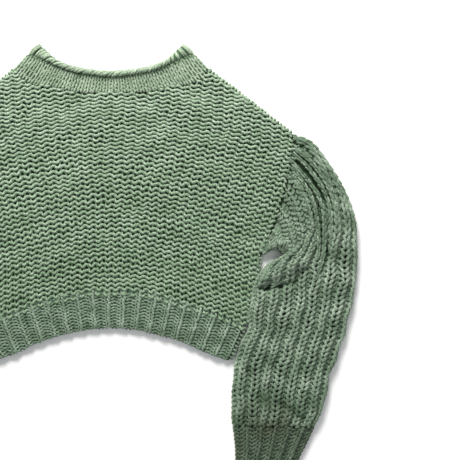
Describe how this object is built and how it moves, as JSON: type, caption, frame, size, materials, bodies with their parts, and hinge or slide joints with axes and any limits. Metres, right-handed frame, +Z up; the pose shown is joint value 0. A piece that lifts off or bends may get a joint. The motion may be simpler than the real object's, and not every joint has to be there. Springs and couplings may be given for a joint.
{
  "type": "cropped knit sweater",
  "caption": "Cropped chunky knit sweater laid flat: purl-side body, arched ribbed hem, full gathered sleeves with ribbed cuffs, and a wide neck with a rolled edge.",
  "frame": {"origin": "on the surface it lies on, under the middle of the whole garment's box: on the centre front line, midway between the tops of the neckband and the ends of the cuffs", "axes": "+X towards the garment's left sleeve, on the right seen from above; +Y from hem to neck; +Z up, away from the surface it lies on"},
  "size_m": [0.761, 0.676, 0.0234],
  "materials": {
    "body_knit": "matt chunky cotton and wool yarn, purl side out",
    "sleeve_knit": "matt chunky yarn in a deep fisherman's rib",
    "rib_knit": "matt yarn in a firm rib",
    "neckband_knit": "matt finer yarn in plain stockinette with a rolled edge"
  },
  "bodies": {
    "root": {"front": "body_knit", "back": "body_knit", "hem_rib_front": "rib_knit", "hem_rib_back": "rib_knit", "neckband": "neckband_knit", "sleeve_left": "sleeve_knit", "sleeve_right": "sleeve_knit", "cuff_left": "rib_knit", "cuff_right": "rib_knit"}
  },
  "joints": []
}
